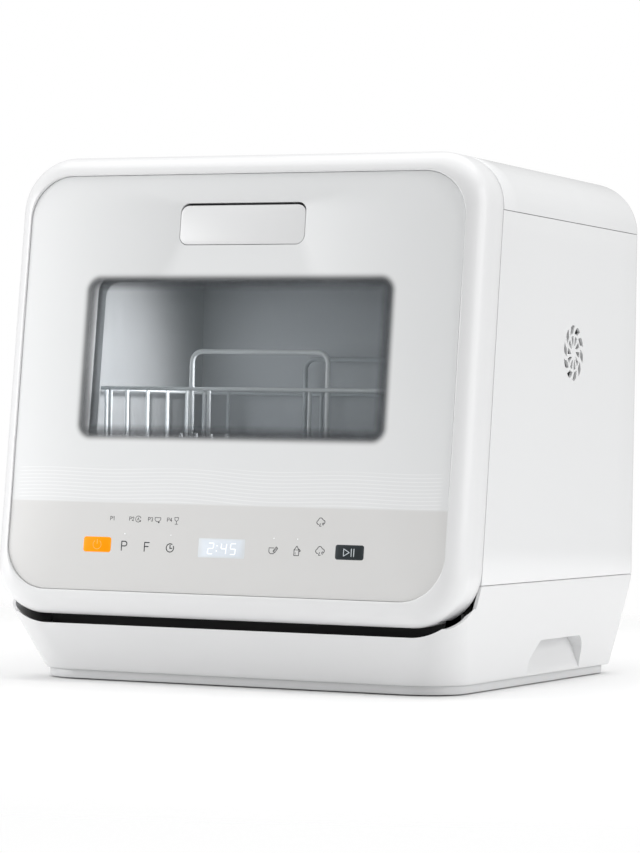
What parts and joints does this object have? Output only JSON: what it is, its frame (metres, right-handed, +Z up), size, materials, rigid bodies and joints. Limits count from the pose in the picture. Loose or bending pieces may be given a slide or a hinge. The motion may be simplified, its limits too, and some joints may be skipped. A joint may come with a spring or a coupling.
{
  "type": "countertop dishwasher",
  "caption": "Compact white countertop dishwasher with a drop-down windowed door, a sliding wire rack, rotating spray arms and a refillable water tank.",
  "frame": {"origin": "on the surface it stands on, under the middle of the overall box", "axes": "+X to the user's right when facing the door, +Y from the door to the rear, +Z up"},
  "size_m": [0.42, 0.4304, 0.435],
  "materials": {
    "white_gloss": "gloss white moulded plastic",
    "panel_print": "gloss panel, back-printed white",
    "clear_glass": "clear pane",
    "display": "back-lit display window",
    "orange_key": "orange key, satin",
    "slate_key": "dark slate key",
    "plinth_grey": "light grey, matt",
    "black_plastic": "black, matt",
    "grey_plastic": "mid grey, satin",
    "dark_plastic": "dark grey, satin",
    "stainless": "fine brushed steel",
    "zinc_steel": "zinc-plated steel",
    "rubber": "soft black rubber",
    "grey_rubber": "grey rubber",
    "rack_coat": "nylon-coated wire, blue-grey",
    "board_green": "circuit board",
    "natural_plastic": "natural white plastic"
  },
  "bodies": {
    "casing": {"base_housing": "white_gloss", "plinth": "plinth_grey", "feet": "rubber", "kick_plate": "black_plastic", "side_panel_left": "white_gloss", "side_panel_right": "white_gloss", "top_cover": "white_gloss", "rear_panel": "white_gloss", "tub": "stainless", "tub_front_frame": "white_gloss", "door_gasket": "grey_rubber", "rack_rails": "grey_plastic", "sump": "dark_plastic", "spray_posts": "grey_plastic", "spray_arm_nuts": "dark_plastic", "filter_plate": "stainless", "heater_element": "stainless", "wash_pump_casing": "dark_plastic", "wash_motor": "zinc_steel", "suction_pipe": "rubber", "supply_pipe": "dark_plastic", "drain_pump": "dark_plastic", "drain_hose": "grey_rubber", "water_tank": "natural_plastic", "inlet_valve": "natural_plastic", "cord_gland": "black_plastic", "main_board_box": "natural_plastic", "fan_housing": "dark_plastic", "hinge_brackets": "zinc_steel", "hinge_pins": "zinc_steel", "door_lock": "black_plastic", "fill_port": "natural_plastic", "body_screws": "zinc_steel"},
    "door": {"door_frame": "white_gloss", "front_panel": "panel_print", "window_pane": "clear_glass", "display_window": "display", "power_key": "orange_key", "start_key": "slate_key", "control_board": "board_green", "handle_pocket": "white_gloss", "window_frame": "natural_plastic", "inner_window": "clear_glass", "inner_liner": "stainless", "door_back_cover": "white_gloss", "detergent_cup": "natural_plastic", "hinge_knuckles": "zinc_steel", "latch_tongue": "dark_plastic"},
    "handle_flap": {"handle_flap": "white_gloss", "flap_spring": "zinc_steel"},
    "detergent_lid": {"detergent_lid": "grey_plastic"},
    "rack": {"dish_rack": "rack_coat", "rack_walls": "rack_coat", "rack_glides": "natural_plastic"},
    "lower_arm": {"lower_spray_arm": "grey_plastic"},
    "upper_arm": {"upper_spray_arm": "grey_plastic"},
    "filter": {"filter_cylinder": "dark_plastic"},
    "fan": {"fan_rotor": "black_plastic"},
    "impeller": {"pump_impeller": "dark_plastic"},
    "fill_lid": {"fill_lid": "white_gloss"}
  },
  "joints": [
    {"name": "door_hinge", "type": "hinge", "parent": "casing", "child": "door", "pos_m": [0, -0.20111, 0.07547], "axis": [1, 0, 0], "range_deg": [0, 96.35]},
    {"name": "handle_press", "type": "hinge", "parent": "door", "child": "handle_flap", "pos_m": [0, -0.17554, 0.36291], "axis": [-1, 0, 0], "range_deg": [0, 36], "stiffness_Nm_per_rad": 0.05, "springref_deg": -17.19},
    {"name": "detergent_slide", "type": "slide", "parent": "door", "child": "detergent_lid", "axis": [1, 0, 0], "range_m": [0, 0.046]},
    {"name": "rack_slide", "type": "slide", "parent": "casing", "child": "rack", "axis": [0, -1, 0], "range_m": [0, 0.16]},
    {"name": "lower_arm_spin", "type": "hinge", "parent": "casing", "child": "lower_arm", "pos_m": [0, -0.03, 0.134], "axis": [0, 0, 1], "continuous": true},
    {"name": "upper_arm_spin", "type": "hinge", "parent": "casing", "child": "upper_arm", "pos_m": [0, -0.03, 0.392], "axis": [0, 0, 1], "continuous": true},
    {"name": "filter_twist", "type": "hinge", "parent": "casing", "child": "filter", "pos_m": [0, 0.045, 0.12], "axis": [0, 0, 1], "range_deg": [0, 45]},
    {"name": "fan_spin", "type": "hinge", "parent": "casing", "child": "fan", "pos_m": [0.195, 0.0336, 0.2798], "axis": [1, 0, 0], "continuous": true},
    {"name": "impeller_spin", "type": "hinge", "parent": "casing", "child": "impeller", "pos_m": [0.025, 0.06, 0.05], "axis": [1, 0, 0], "continuous": true},
    {"name": "fill_lid_hinge", "type": "hinge", "parent": "casing", "child": "fill_lid", "pos_m": [0.06, 0.173, 0.43], "axis": [-1, 0, 0], "range_deg": [0, 85]}
  ],
  "couplings": [
    {"joint": "rack_slide", "follows": "door_hinge", "m_per_rad": 0.095}
  ]
}
